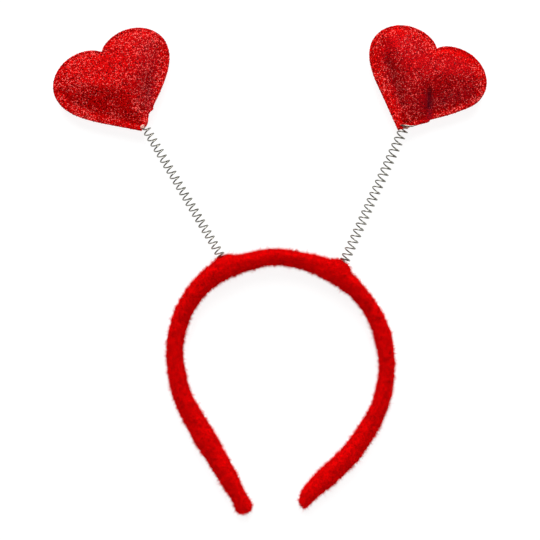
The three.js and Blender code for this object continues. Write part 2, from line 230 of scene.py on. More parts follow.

# Creases in the front of each heart: valleys from point to point of the heart's own frame. They start
# shallow, end at the hem, and have painted shade, darker than the cloth round them.
Crease = namedtuple("Crease", "start end width depth dim")
HEART_CREASES = {
    "left": [Crease((30, 39), (14.5, 17.5), 2.4, 1, 0.1), Crease((17.5, 22), (7, 5.5), 1.7, 0.9, 0.2)],
    "right": [Crease((4.5, 28.8), (14, 10.4), 1.5, 1.8, 0.36), Crease((-28, 37), (-5, 12), 2.3, 1.4, 0.05)],
}
CREASE_FADE = 0.3
CREASE_HEM = 1.5

# Stripes of each heart's front where the cloth leans, with painted shade, or painted light where that is
# below 0, and more painted glints.
Stripe = namedtuple("Stripe", "start end width dim glints")
HEART_STRIPES = {
    "left": [Stripe((25, 41), (9, 14), 6, 0.14, 0.04), Stripe((3.7, 17.5), (5, 4), 1.3, -0.1, 0.14)],
    "right": [
        Stripe((31, 34.5), (10, 20), 4.5, 0.14, 0),
        Stripe((17, 14.5), (34, 35), 2.5, 0, 0.12),
        Stripe((12.5, 15), (13.5, 11.5), 1.5, 0.2, -0.1),
        Stripe((6, 21), (9.5, 11), 3.5, 0.14, -0.04),
    ],
}

# Painted shade over each heart's front, most on the right heart, and where it starts and is full, in from the
# edge.
HEART_PAINTED_SHADE = {"left": 0.03, "right": 0.17}
HEART_PAINTED_SHADE_REACH = (3, 9)

# Swelling of the hearts as cloth, at ten times their size, where the solver's units suit it: the share of
# the height at the start, the most that a point moves, and how firmly stuffing and creases hold the cloth.
SIM_SCALE = 10
SIM_FRAMES = 22
SIM_START = 0.96
SIM_CAP = 0.6
SIM_HOLD = 0.35
SIM_CREASE_HOLD = 0.7
CLOTH_SETTINGS = {
    "quality": 6,
    "mass": 0.2,
    "tension_stiffness": 12,
    "compression_stiffness": 12,
    "shear_stiffness": 6,
    "bending_stiffness": 4,
    "air_damping": 3,
    "pin_stiffness": 2,
    "use_pressure": True,
    "uniform_pressure_force": 3,
}

# Flakes of glitter on the cloth. They lie where it is level enough, and not on its cut edge.
FLAKES_PER_SQUARE_MM = 5
FLAKE_RADIUS = 0.3
FLAKE_HEIGHT = 0.05
FLAKE_SPREAD = 0.2
FLAKE_LEVEL = 0.3
FLAKE_CORNERS = 4
FLAKE_SUNK = 0.3
FLAKE_SEEDS = {"left": 21, "right": 22}

# Glue: gap to the wire, how far it reaches below its middle, that middle in each heart's own frame, and
# the size of each dab and how far it is shifted. Lumps make the dabs uneven.
CLEARANCE = 0.3
GLUE_BELOW = 1.2
HEART_SEAT = {"left": (0.48, 0.34), "right": (2.11, 2.19)}
Dab = namedtuple("Dab", "across along deep shift_across shift_along")
GLUE_DABS = {"left": Dab(1.6, 1.4, 1.6, 1.2, 1.2), "right": Dab(2.3, 1.0, 1.6, 0, -0.2)}
GLUE_RINGS = 18
GLUE_SIDES = 24
GLUE_UNEVENNESS = 0.25
GLUE_LUMPS = 1.6
GLUE_LUMP_SHIFT = 3

# Where the values of a noise texture mostly lie, and how finely plain grain and stains are broken up.
NOISE_RANGE = (0.3, 0.7)
GRAIN_DETAIL = 2
STAIN_DETAIL = 3


class Link:
    """An output socket of a node tree. Sums on it add Math nodes, and add makes any other node."""

    def __init__(self, tree, socket=None):
        self.tree = tree
        self.socket = socket

    def add(self, kind, settings=None, inputs=None, output=0):
        node = self.tree.nodes.new(kind)
        for name, value in (settings or {}).items():
            setattr(node, name, value)
        for key, value in (inputs or {}).items():
            if isinstance(value, Link):
                self.tree.links.new(value.socket, node.inputs[key])
            else:
                node.inputs[key].default_value = value
        return Link(self.tree, node.outputs[output])

    def math(self, operation, *values):
        return self.add("ShaderNodeMath", {"operation": operation}, dict(enumerate(values)))

    def vector(self, operation, *values):
        return self.add("ShaderNodeVectorMath", {"operation": operation}, dict(enumerate(values)))

    def scaled(self, factor):
        return self.add("ShaderNodeVectorMath", {"operation": "SCALE"}, {"Vector": self, "Scale": factor})

    def clamped(self, low, high):
        return self.math("MINIMUM", self.math("MAXIMUM", self, low), high)

    def centred(self):
        """A value from 0 to 1, moved to lie on both sides of 0."""
        return self - 0.5

    def centred_vector(self):
        """A vector or colour of values from 0 to 1, moved to lie on both sides of 0."""
        return self.vector("SUBTRACT", self, (0.5, 0.5, 0.5))

    def between(self, low, high):
        """Number between low and high, by this link's value."""
        return low + (high - low) * self

    def eased(self, start, end):
        """From 0 at start to 1 at end, smooth at both."""
        settings = {"interpolation_type": "SMOOTHSTEP"}
        ends = {"Value": self, "From Min": start, "From Max": end}
        return self.add("ShaderNodeMapRange", settings, ends)

    def mixed(self, low, high):
        """Colour between low and high, by this link's value."""
        return self.add("ShaderNodeMix", {"data_type": "RGBA"}, {0: self, 6: low, 7: high}, output=2)

    def height(self):
        """The Z part of a vector."""
        return self.add("ShaderNodeSeparateXYZ", {}, {0: self}, output="Z")

    def __add__(self, other):
        return self.math("ADD", self, other)

    def __sub__(self, other):
        return self.math("SUBTRACT", self, other)

    def __rsub__(self, other):
        return self.math("SUBTRACT", other, self)

    def __mul__(self, other):
        return self.math("MULTIPLY", self, other)

    def __truediv__(self, other):
        return self.math("DIVIDE", self, other)

    def __rtruediv__(self, other):
        return self.math("DIVIDE", other, self)

    __radd__ = __add__
    __rmul__ = __mul__


def ease(value, start, end):
    share = np.clip((value - start) / (end - start), 0, 1)
    return share * share * (3 - 2 * share)


def piece_length(piece):
    return piece.length if isinstance(piece, Straight) else piece.radius * math.radians(abs(piece.sweep))


def band_point(side, along):
    """Point of the middle line and the direction outwards, at a distance from the crown."""
    x = y = heading = 0.0
    remaining = along
    for piece in BAND_LINE[side]:
        run = min(remaining, piece_length(piece))
        turn = 0.0
        chord = run
        if isinstance(piece, Arc):
            turn = math.copysign(run / piece.radius, piece.sweep)
            chord = 2 * piece.radius * math.sin(abs(turn) / 2)
        x += SIDES[side] * chord * math.cos(heading + turn / 2)
        y -= chord * math.sin(heading + turn / 2)
        heading += turn
        remaining -= run
        if remaining <= 0:
            break
    return np.array([x, y]), np.array([SIDES[side] * math.sin(heading), math.cos(heading)])


def band_measure(side, name, along):
    """A measure of the band's section, eased between the rows of its table."""
    rows = BAND_SECTIONS[side]
    for before, after in zip(rows, rows[1:]):
        if along < after.along:
            share = ease(along, before.along, after.along)
            return getattr(before, name) + share * (getattr(after, name) - getattr(before, name))
    return getattr(rows[-1], name)


def spring_axis(side):
    """Foot of a spring, its direction, the direction to its right, and where the wire leaves the coil."""
    spring = SPRINGS[side]
    point, outward = band_point(side, spring.along)
    lean = math.radians(spring.lean)
    direction = np.array([SIDES[side] * math.sin(lean), math.cos(lean)])
    across = np.array([direction[1], -direction[0]])
    plush = band_measure(side, "outer", spring.along) + TENT_HEIGHT
    foot = point + outward * plush + direction * SPRING_FOOT_GAP
    tip = foot + direction * spring.length + across * spring.exit * spring.coil
    return foot, direction, across, tip


def row_point(flat, height):
    return (flat[0] * MM, flat[1] * MM, height * MM)


def grey(value):
    return (value, value, value, 1)


def surface(name, constants, varying):
    """Material with constant values on its shader, and what varying(link) makes linked to others."""
    material = bpy.data.materials.new(name)
    material.use_nodes = True
    tree = material.node_tree
    shader = tree.nodes["Principled BSDF"]
    for socket, value in constants.items():
        shader.inputs[socket].default_value = value
    for socket, link in varying(Link(tree)).items():
        tree.links.new(link.socket, shader.inputs[socket])
    return material


def noise_at(place, size, detail, output=0):
    """Noise from 0 to 1 at a place, with blots of about a size."""
    blots = {"Vector": place, "Scale": 1 / (size * MM), "Detail": detail}
    return place.add("ShaderNodeTexNoise", {}, blots, output)


def object_place(start):
    return start.add("ShaderNodeTexCoord", output="Object")


def object_noise(start, size, detail=GRAIN_DETAIL):
    return noise_at(object_place(start), size, detail)


def attribute(start, name):
    return start.add("ShaderNodeAttribute", {"attribute_name": name}, output="Fac")


# Grain of a finish: size of its blots, and how strongly and how far they stand out.
Grain = namedtuple("Grain", "size strength depth")
PLUSH_GRAIN = Grain(0.8, 0.6, 0.3)
FELT_GRAIN = Grain(0.5, 0.4, 0.2)
STEEL_GRAIN = Grain(0.25, 0.15, 0.02)
GLUE_GRAIN = Grain(1.1, 0.3, 0.2)


def bumped(height, grain):
    """Normal of a surface that a height from 0 to 1 raises as a grain says."""
    relief = {"Height": height, "Strength": grain.strength, "Distance": grain.depth * MM}
    return height.add("ShaderNodeBump", {}, relief)


# Plush: colours from the root of a fibre to its tip, darker at the root as painted shade deep in the pile,
# and a darker colour that blots and painted shade mix in. It has painted shade in the springs' holes.
PLUSH_SHADED_ROOT = (0.5, 0.0002, 0.0004, 1)
PLUSH_TIP = (0.86, 0.0005, 0.001, 1)
PLUSH_RISE = (0.25, 1)
PLUSH_SHADE = (0.22, 0.0002, 0.0005, 1)
PLUSH_SHADE_SHARE = 0.7
# A faint glow in the plush's own red is painted light that lifts its shaded sides.
PLUSH_PAINTED_FILL_GLOW = (1, 0.002, 0.003, 1)
PLUSH_SHEEN = (1, 0.03, 0.03, 1)
HOLE_PAINTED_SHADE = (0.012, 0.004, 0.003, 1)
HOLE_RADII = (1.0, 1.8)
HOLE_RISE = 2.2


def with_painted_hole_shade(start, colour):
    """Colour with painted shade in the holes where the wires go into the plush."""
    place = object_place(start)
    inner, outer = (radius * MM for radius in HOLE_RADII)
    for side in SIDES:
        foot, direction, *_ = spring_axis(side)
        hole = row_point(foot - direction * COILS[side].sunk, SPRING_HEIGHT + HOLE_RISE)
        ends = {0: place, 1: hole}
        apart = place.add("ShaderNodeVectorMath", {"operation": "DISTANCE"}, ends, output="Value")
        colour = apart.eased(inner, outer).mixed(HOLE_PAINTED_SHADE, colour)
    return colour


def plush_looks(start):
    grain = object_noise(start, PLUSH_GRAIN.size)
    fibre = attribute(start, "tip").between(*PLUSH_RISE).mixed(PLUSH_SHADED_ROOT, PLUSH_TIP)
    colour = (PLUSH_SHADE_SHARE * attribute(start, "shade")).mixed(fibre, PLUSH_SHADE)
    return {"Base Color": with_painted_hole_shade(start, colour), "Normal": bumped(grain, PLUSH_GRAIN)}


# Glitter: colours of its flakes and the cells of the cloth under them, pale painted glints that also glow,
# more in patches, and a colour for painted shade.
GLITTER_DARK = (0.02, 0.0001, 0.0001, 1)
GLITTER_MID = (0.95, 0.0012, 0.0012, 1)
GLITTER_PAINTED_GLINT = (1.0, 0.14, 0.125, 1)
GLITTER_SHADE = (0.03, 0.004, 0.013, 1)
GLITTER_CELL = 0.5
GLITTER_TILT = 0.3
GLITTER_ROUGHNESS = (0.5, 0.75)
FLAKE_ROUGHNESS = (0.45, 0.7)
PAINTED_GLINT_PATCH = 13
PAINTED_GLINT_PATCHINESS = 0.3
PAINTED_GLINT_RANGE = (0.9, 0.98)
PAINTED_GLINT_GLOW = (0.24, 0.022, 0.02, 1)
NO_GLOW = grey(0)


def glitter_colours(pick):
    """Colours of flakes by random numbers: dark and middle reds, pale painted glints that glow, and painted
    shade where the front is dimmed.
    """
    body = pick.mixed(GLITTER_DARK, GLITTER_MID)
    patch = object_noise(pick, PAINTED_GLINT_PATCH).centred()
    painted_glint = (pick + PAINTED_GLINT_PATCHINESS * patch + attribute(pick, "glints")).eased(*PAINTED_GLINT_RANGE)
    dim = attribute(pick, "dim")
    colour = dim.mixed(painted_glint.mixed(body, GLITTER_PAINTED_GLINT), GLITTER_SHADE)
    return {"Base Color": colour, "Emission Color": (painted_glint * (1 - dim)).mixed(NO_GLOW, PAINTED_GLINT_GLOW)}


def glitter_looks(start):
    cells = {"Vector": object_place(start), "Scale": 1 / (GLITTER_CELL * MM)}
    random = start.add("ShaderNodeTexVoronoi", {}, cells, output="Color")
    pick = random.add("ShaderNodeSeparateColor", {}, {"Color": random})
    tilt = random.centred_vector().scaled(GLITTER_TILT)
    facing = start.add("ShaderNodeNewGeometry", output="Normal")
    normal = facing.vector("NORMALIZE", facing.vector("ADD", facing, tilt))
    return {**glitter_colours(pick), "Roughness": pick.between(*GLITTER_ROUGHNESS), "Normal": normal}


def flake_looks(start):
    shade = attribute(start, "shade")
    return {**glitter_colours(shade), "Roughness": shade.between(*FLAKE_ROUGHNESS)}


# Felt at the cut edge of the hearts
FELT_DARK = (0.75, 0.004, 0.004, 1)
FELT_BRIGHT = (1.0, 0.03, 0.025, 1)


def felt_looks(start):
    fuzz = object_noise(start, FELT_GRAIN.size)
    return {"Base Color": fuzz.mixed(FELT_DARK, FELT_BRIGHT), "Normal": bumped(fuzz, FELT_GRAIN)}


# Bare drawn steel, stained, with painted shade where it goes into the plush
STEEL_DARK = (0.13, 0.126, 0.104, 1)
STEEL_BRIGHT = (0.36, 0.356, 0.315, 1)
STEEL_STAIN = 2.2
STEEL_ROUGHNESS = (0.22, 0.47)


def steel_looks(start):
    stain = object_noise(start, STEEL_STAIN, STAIN_DETAIL).eased(*NOISE_RANGE)
    drawn = object_noise(start, STEEL_GRAIN.size)
    return {
        "Base Color": with_painted_hole_shade(start, stain.mixed(STEEL_DARK, STEEL_BRIGHT)),
        "Roughness": drawn.between(*STEEL_ROUGHNESS),
        "Normal": bumped(drawn, STEEL_GRAIN),
    }


# Milky hot glue
GLUE_CLEAR = (0.6, 0.12, 0.1, 1)
GLUE_MILKY = (0.8, 0.46, 0.38, 1)


def glue_looks(start):
    cloud = object_noise(start, GLUE_GRAIN.size, STAIN_DETAIL)
    colour = cloud.eased(*NOISE_RANGE).mixed(GLUE_CLEAR, GLUE_MILKY)
    return {"Base Color": colour, "Normal": bumped(cloud, GLUE_GRAIN)}


# Floor of pale paper that is lit through
FLOOR_DARK = grey(0.15)
FLOOR_BRIGHT = grey(0.17)
FLOOR_CLOUD = 60


def floor_looks(start):
    cloud = object_noise(start, FLOOR_CLOUD, STAIN_DETAIL)
    return {"Base Color": cloud.mixed(FLOOR_DARK, FLOOR_BRIGHT)}


PLUSH = surface(
    "plush",
    {
        "Roughness": 0.9,
        "Specular IOR Level": 0.0,
        "Sheen Weight": 0.4,
        "Sheen Roughness": 0.5,
        "Sheen Tint": PLUSH_SHEEN,
        "Emission Color": PLUSH_PAINTED_FILL_GLOW,
        "Emission Strength": 0.12,
    },
    plush_looks,
)
# The glitter's emission is painted light: it makes the painted glints glow, even in shade.
GLITTER = surface(
    "glitter_cloth",
    {"Metallic": 0.04, "Specular IOR Level": 0.01, "Emission Strength": 1.0},
    glitter_looks,
)
# The flakes' emission is painted light in the same way.
FLAKE = surface(
    "glitter_flakes",
    {"Metallic": 0.06, "Specular IOR Level": 0.02, "Emission Strength": 1.0},
    flake_looks,
)
FELT = surface("felt_edge", {"Roughness": 0.9, "Specular IOR Level": 0.0}, felt_looks)
STEEL = surface("spring_steel", {"Metallic": 1.0}, steel_looks)
GLUE = surface(
    "hot_glue",
    {
        "Roughness": 0.28,
        "Subsurface Weight": 0.4,
        "Subsurface Radius": (1.0, 0.5, 0.4),
        "Subsurface Scale": MM,
    },
    glue_looks,
)
FLOOR = surface(
    "floor_lit_paper",
    {
        "Roughness": 0.9,
        "Specular IOR Level": 0.0,
        "Emission Color": grey(1),
        "Emission Strength": 0.91,
    },
    floor_looks,
)


def linked(name, data):
    thing = bpy.data.objects.new(name, data)
    bpy.context.scene.collection.objects.link(thing)
    return thing


def mesh_piece(name, points, faces, material=None):
    """Smooth object from points in millimetres."""
    mesh = bpy.data.meshes.new(name)
    mesh.from_pydata((np.asarray(points) * MM).tolist(), [], faces)
    mesh.shade_smooth()
    if material:
        mesh.materials.append(material)
    return linked(name, mesh)


def made_plain(piece):
    """The piece with its modifiers worked into its mesh."""
    evaluated = piece.evaluated_get(bpy.context.evaluated_depsgraph_get())
    mesh = bpy.data.meshes.new_from_object(evaluated)
    piece.modifiers.clear()
    piece.data = mesh
    mesh.name = piece.name
    return piece


def made_outward(piece):
    """Turns a closed mesh's faces outwards."""
    form = bmesh.new()
    form.from_mesh(piece.data)
    bmesh.ops.recalc_face_normals(form, faces=form.faces)
    form.to_mesh(piece.data)
    form.free()
    return piece


def lumpy(point, lumps):
    """How far padding stands out at a point, in millimetres."""
    return sum(lump.height * noise.noise(Vector(point) / lump.size) for lump in lumps)


def band_stations(side):
    """Distances along one side, each with the share of the section's size that is left there."""
    length = sum(piece_length(piece) for piece in BAND_LINE[side]) - PILE_DEPTH
    start = length - BAND_END_ROUNDING
    steps = np.linspace(0, start, round(start / BAND_STEP), endpoint=False)
    stations = [(along, 1.0) for along in steps]
    for angle in np.linspace(0, math.pi / 2, BAND_END_STEPS, endpoint=False):
        stations.append((start + BAND_END_ROUNDING * math.sin(angle), math.cos(angle)))
    return stations


def squared(value):
    """A cosine or sine bent so that a circle becomes a soft rectangle."""
    return math.copysign(abs(value) ** (2 / BAND_SQUARENESS), value)


def band_ring(side, along, scale):
    """One section of the skin: a soft rectangle, flat where it rests, pulled out under a spring."""
    point, outward = band_point(side, along)
    outer = band_measure(side, "outer", along) - PILE_DEPTH
    inner = band_measure(side, "inner", along) - PILE_DEPTH
    half_deep = band_measure(side, "deep", along) / 2
    middle = half_deep - BAND_FLAT_DEPTH
    tent = TENT_HEIGHT * math.exp(-(((along - SPRINGS[side].along) / TENT_REACH) ** 2))
    ring = []
    for angle in np.linspace(0, math.tau, BAND_SIDES, endpoint=False) - math.pi / 2:
        across = squared(math.cos(angle))
        up = squared(math.sin(angle))
        reach = across * scale * inner
        if across > 0:
            reach = across * scale * outer + tent * across**TENT_FOCUS
        height = middle + up * (half_deep - PILE_DEPTH) * scale
        lump = lumpy((*(point + outward * reach), height), BAND_LUMPS)
        place = point + outward * (reach + across * lump)
        ring.append((*place, max(PILE_DEPTH, height + up * lump)))
    return ring


def skin_faces(rings, count):
    """Faces of a closed skin over rings of a count of points, with a point at the middle of each end."""
    faces = []
    for i in range(rings - 1):
        for k in range(count):
            here = i * count + k
            beside = i * count + (k + 1) % count
            faces.append((here, beside, beside + count, here + count))
    first = rings * count
    last = first + 1
    last_ring = first - count
    for k in range(count):
        beside = (k + 1) % count
        faces.append((first, beside, k))
        faces.append((last, last_ring + k, last_ring + beside))
    return faces


def band_skin():
    left = [band_ring("left", *station) for station in band_stations("left")]
    right = [band_ring("right", *station) for station in band_stations("right")]
    rings = np.array(left[::-1] + right[1:])
    points = np.vstack([rings.reshape(-1, 3), rings[0].mean(0), rings[-1].mean(0)])
    return mesh_piece("band_plush", points, skin_faces(len(rings), BAND_SIDES), PLUSH)


def shape_tree(name, sockets):
    """Geometry tree with named inputs. Returns it and a link to each input."""
    tree = bpy.data.node_groups.new(name, "GeometryNodeTree")
    tree.interface.new_socket("Mesh", in_out="OUTPUT", socket_type="NodeSocketGeometry")
    for label, kind in sockets.items():
        tree.interface.new_socket(label, in_out="INPUT", socket_type="NodeSocket" + kind)
    given = tree.nodes.new("NodeGroupInput")
    return tree, {label: Link(tree, given.outputs[label]) for label in sockets}


def end_tree(geometry, material):
    """Realizes what a tree has made, gives it its material and sends it out."""
    realized = geometry.add("GeometryNodeRealizeInstances", {}, {0: geometry})
    dressed = realized.add("GeometryNodeSetMaterial", {}, {0: realized, "Material": material})
    geometry.tree.links.new(dressed.socket, geometry.tree.nodes.new("NodeGroupOutput").inputs[0])


def grown(name, tree, values, mesh=None):
    """Plain object that a tree makes from named values, on a mesh if one is given."""
    piece = linked(name, mesh or bpy.data.meshes.new(name))
    modifier = piece.modifiers.new(name, "NODES")
    modifier.node_group = tree
    for item in tree.interface.items_tree:
        if item.in_out == "INPUT" and item.name in values:
            modifier[item.identifier] = values[item.name]
    return made_plain(piece)


SCATTER_SOCKETS = {
    "Mesh": "Geometry",
    **dict.fromkeys(["Density", "Length", "Width", "Spread", "Tuft"], "Float"),
    "Seed": "Int",
}


def seed_of(given, draw):
    return given["Seed"] + SEED_SHIFTS[draw]


def random_number(given, low, high, draw):
    """Random number from low to high for each fibre."""
    ends = {2: low, 3: high, "Seed": seed_of(given, draw)}
    return given["Mesh"].add("FunctionNodeRandomValue", {"data_type": "FLOAT"}, ends, output=1)


def random_vector(given, draw):
    """Random vector from -1 to 1 each way for each fibre."""
    ends = {0: (-1, -1, -1), 1: (1, 1, 1), "Seed": seed_of(given, draw)}
    return given["Mesh"].add("FunctionNodeRandomValue", {"data_type": "FLOAT_VECTOR"}, ends, output=0)


def kept_number(geometry, name, value):
    """The geometry, with a number for each of its points under a name."""
    settings = {"data_type": "FLOAT", "domain": "POINT"}
    number = {"Geometry": geometry, "Name": name, "Value": value}
    return geometry.add("GeometryNodeStoreNamedAttribute", settings, number)


def fibre_form(place, corners, sunk):
    """Pointed cone of one unit that starts below the skin, with its height kept as tip."""
    sizes = {"Vertices": corners, "Radius Top": 0.0, "Radius Bottom": 1.0, "Depth": 1.0}
    cone = place.add("GeometryNodeMeshCone", {"fill_type": "NGON"}, sizes)
    cone = kept_number(cone, "tip", place.height())
    return cone.add("GeometryNodeSetPosition", {}, {"Geometry": cone, "Offset": (0, 0, -sunk)})


def fibre_turn(given, normal, place):
    """Rotation of each fibre, which leans at random and with its tuft, and is spun at random."""
    lean = random_vector(given, "lean").scaled(given["Spread"])
    tuft = noise_at(place, TUFT_SIZE, TUFT_DETAIL, "Color").centred_vector().scaled(given["Tuft"])
    aim = normal.vector("ADD", normal, tuft.vector("ADD", tuft, lean))
    spin_angle = random_number(given, 0, math.tau, "spin")
    angles = place.add("ShaderNodeCombineXYZ", {}, {"Z": spin_angle})
    spin = place.add("FunctionNodeEulerToRotation", {}, {0: angles})
    return place.add("FunctionNodeAlignRotationToVector", {"axis": "Z"}, {"Rotation": spin, "Vector": aim})


def fibre_size(given, place):
    """Width and length of each fibre, at random. Some tufts are longer than others."""
    longer = noise_at(place, TUFT_LENGTH_SIZE, TUFT_DETAIL).eased(*NOISE_RANGE).centred()
    width = given["Width"] * random_number(given, *RANDOM_WIDTHS, "width")
    length = given["Length"] * random_number(given, *RANDOM_LENGTHS, "length")
    tufted_length = length * (1 + TUFT_LENGTH_SHARE * given["Tuft"] * longer)
    return place.add("ShaderNodeCombineXYZ", {}, {"X": width, "Y": width, "Z": tufted_length})


def fibre_shade(given, normal, place):
    """Shade of each fibre: random, but in tufts it follows blots, and it has painted shade where the skin
    lies level, a painted sheen on the edges.
    """
    own = random_number(given, 0.0, 1.0, "shade")
    blots = noise_at(place, SHADE_SIZE, GRAIN_DETAIL).eased(*SHADE_RANGE)
    level = normal.height().eased(*PAINTED_SHADE_LEVEL_RANGE)
    tufted = given["Tuft"].math("MINIMUM", given["Tuft"], 1)
    return own + tufted * ((blots - own) * SHADE_BLOTS + level * PAINTED_SHADE_LEVEL)


def scattered(given, corners, sunk, where=True):
    """Fibres or flakes on a mesh: pointed cones of a few corners, each with its own lean, size and shade."""
    start = given["Mesh"]
    spots = {"Mesh": start, "Selection": where, "Density": given["Density"], "Seed": given["Seed"]}
    points = start.add("GeometryNodeDistributePointsOnFaces", {"distribute_method": "RANDOM"}, spots)
    normal = Link(points.tree, points.socket.node.outputs["Normal"])
    place = start.add("GeometryNodeInputPosition")
    each = {
        "Points": kept_number(points, "shade", fibre_shade(given, normal, place)),
        "Instance": fibre_form(place, corners, sunk),
        "Rotation": fibre_turn(given, normal, place),
        "Scale": fibre_size(given, place),
    }
    return start.add("GeometryNodeInstanceOnPoints", {}, each)


def pile_tree():
    """Fibres of the plush, which lie flat where the band rests."""
    tree, given = shape_tree("plush_pile", SCATTER_SOCKETS)
    fibres = scattered(given, FIBRE_CORNERS, FIBRE_SUNK)
    fibres = fibres.add("GeometryNodeRealizeInstances", {}, {0: fibres})
    place = fibres.add("GeometryNodeInputPosition")
    beyond_all = -1
    lowest = (beyond_all, beyond_all, FIBRE_FLOOR_GAP * MM)
    on_floor = {"Geometry": fibres, "Position": fibres.vector("MAXIMUM", place, lowest)}
    end_tree(fibres.add("GeometryNodeSetPosition", {}, on_floor), PLUSH)
    return tree


def flake_tree():
    """Flakes on the two faces of a heart, and none on its cut edge."""
    tree, given = shape_tree("glitter_flakes", SCATTER_SOCKETS)
    level = given["Mesh"].add("GeometryNodeInputNormal").height()
    on_face = level.math("GREATER_THAN", level.math("ABSOLUTE", level), FLAKE_LEVEL)
    end_tree(scattered(given, FLAKE_CORNERS, FLAKE_SUNK, on_face), FLAKE)
    return tree


def band_pile(skin, tree, pile):
    values = {
        "Density": pile.per_square_mm / MM**2,
        "Length": pile.length * MM,
        "Width": pile.width / 2 * MM,
        "Spread": pile.spread,
        "Tuft": pile.tuft,
        "Seed": pile.seed,
    }
    return grown("band_" + pile.name, tree, values, skin.data)


SPRING_SOCKETS = {
    **dict.fromkeys(["Sunk", "Turns", "Pitch", "Phase", "Coil"], "Float"),
    **dict.fromkeys(["End Rise", "End Across", "End Front", "Wire", "Lean"], "Float"),
    "Foot": "Vector",
}


def wire_place(given, turn, tail_turns):
    """Place of the wire after some turns: a straight tail, a flat curl, the coil, and an end on the heart."""
    turns, coil = given["Turns"], given["Coil"]
    curl, end = SPRING_CURL_TURNS, SPRING_END_TURNS
    tails = turn.math("MINIMUM", turn, 0) * (SPRING_TAIL * MM) / tail_turns
    start_curl = turn.clamped(0, curl) * (SPRING_CURL_RISE * MM / curl)
    coiled_up = (turn - curl).clamped(0, turns - curl - end) * given["Pitch"]
    end_curl = (turn - turns + end).clamped(0, end) * given["End Rise"] / end
    height = tails + start_curl + coiled_up + end_curl - given["Sunk"]

    open_share = turn.eased(0, SPRING_OPEN_TURNS)
    coiled = (turns - turn).eased(0, end)
    angle = (turn + given["Phase"]) * math.tau
    across = coil * (open_share * coiled * angle.math("COSINE", angle) + (1 - coiled) * given["End Across"])
    front = coil * ((1 - coiled) * given["End Front"] - open_share * coiled * angle.math("SINE", angle))
    return turn.add("ShaderNodeCombineXYZ", {}, {"X": across, "Y": height, "Z": front})


def spring_tree():
    """Coil of wire that is bent up +Y, then leaned and stood on its foot."""
    tree, given = shape_tree("spring_wire", SPRING_SOCKETS)
    turns = given["Turns"]
    tail_turns = SPRING_TAIL * MM / (math.tau * given["Coil"])
    all_turns = turns + tail_turns
    straight = turns.add("GeometryNodeCurvePrimitiveLine")
    steps = {"Curve": straight, "Count": all_turns * WIRE_STEPS_PER_TURN}
    line = turns.add("GeometryNodeResampleCurve", {}, steps)
    turn = turns.add("GeometryNodeSplineParameter") * all_turns - tail_turns
    coiled = {"Geometry": line, "Position": wire_place(given, turn, tail_turns)}
    coil = turns.add("GeometryNodeSetPosition", {}, coiled)
    round_wire = {"Resolution": WIRE_SIDES, "Radius": given["Wire"]}
    section = turns.add("GeometryNodeCurvePrimitiveCircle", {"mode": "RADIUS"}, round_wire)
    swept = {"Curve": coil, "Profile Curve": section, "Fill Caps": True}
    wire = turns.add("GeometryNodeCurveToMesh", {}, swept)
    smooth = turns.add("GeometryNodeSetShadeSmooth", {}, {"Geometry": wire})
    lean = turns.add("ShaderNodeCombineXYZ", {}, {"Z": given["Lean"]})
    stood = {"Geometry": smooth, "Rotation": lean, "Translation": given["Foot"]}
    end_tree(turns.add("GeometryNodeTransform", {}, stood), STEEL)
    return tree


def spring_wire(side, tree):
    spring, coil = SPRINGS[side], COILS[side]
    foot, *_ = spring_axis(side)
    values = {
        "Sunk": coil.sunk * MM,
        "Turns": coil.turns,
        "Pitch": coil.pitch * MM,
        "Phase": coil.phase,
        "Coil": spring.coil * MM,
        "End Rise": coil.end_rise * MM,
        "End Across": coil.end_across,
        "End Front": coil.end_front,
        "Wire": WIRE_RADIUS * MM,
        "Lean": -SIDES[side] * math.radians(spring.lean),
        "Foot": row_point(foot, SPRING_HEIGHT),
    }
    return grown(f"spring_{side}_wire", tree, values)


def bezier(start, leave, arrive, end, samples):
    t = np.linspace(0, 1, samples, endpoint=False)[:, None]
    start, leave, arrive, end = (np.array(p, float) for p in (start, leave, arrive, end))
    return (1 - t) ** 3 * start + 3 * (1 - t) ** 2 * t * leave + 3 * (1 - t) * t**2 * arrive + t**3 * end


def heart_half(tip):
    """Right half of the plain outline, from the tip to the notch, finely sampled."""
    first = HEART_KNOTS[0]
    runs = [bezier(tip, tip, first.place, first.place, HEART_CURVE_SAMPLES)]
    for last, knot in zip(HEART_KNOTS, HEART_KNOTS[1:]):
        leave = np.add(last.place, last.after)
        arrive = np.add(knot.place, knot.before)
        runs.append(bezier(last.place, leave, arrive, knot.place, HEART_CURVE_SAMPLES))
    return np.vstack([*runs, [HEART_KNOTS[-1].place]])


def run_lengths(line):
    return np.concatenate([[0], np.cumsum(np.linalg.norm(np.diff(line, axis=0), axis=1))])


def heart_outline(side):
    """Whole outline with the flaws of its cut, at even steps."""
    tip_across, tip_rise = HEART_TIP[side]
    half = heart_half((tip_across, tip_rise))
    along = run_lengths(half)
    run = np.gradient(half, axis=0)
    outward = np.stack([run[:, 1], -run[:, 0]], 1) / np.linalg.norm(run, axis=1)[:, None]
    out = np.zeros(len(half))
    for flaw in HEART_FLAWS[side]:
        risen = ease(along, flaw.start, flaw.start + flaw.rise)
        out += flaw.out * risen * (1 - ease(along, flaw.end, flaw.end + flaw.fall))
    right = half + outward * out[:, None]
    left = heart_half((-tip_across, tip_rise))[-2:0:-1] * (-1, 1)
    whole = np.vstack([right, left, right[:1]])
    along = run_lengths(whole)
    steps = np.linspace(0, along[-1], round(along[-1] / HEART_SPACING), endpoint=False)
    return np.stack([np.interp(steps, along, whole[:, axis]) for axis in range(2)], 1)


def shares(points, start, end):
    """How far along a straight stretch each point lies, from 0 to 1."""
    run = np.subtract(end, start)
    return np.clip((points - start) @ run / (run @ run), 0, 1)


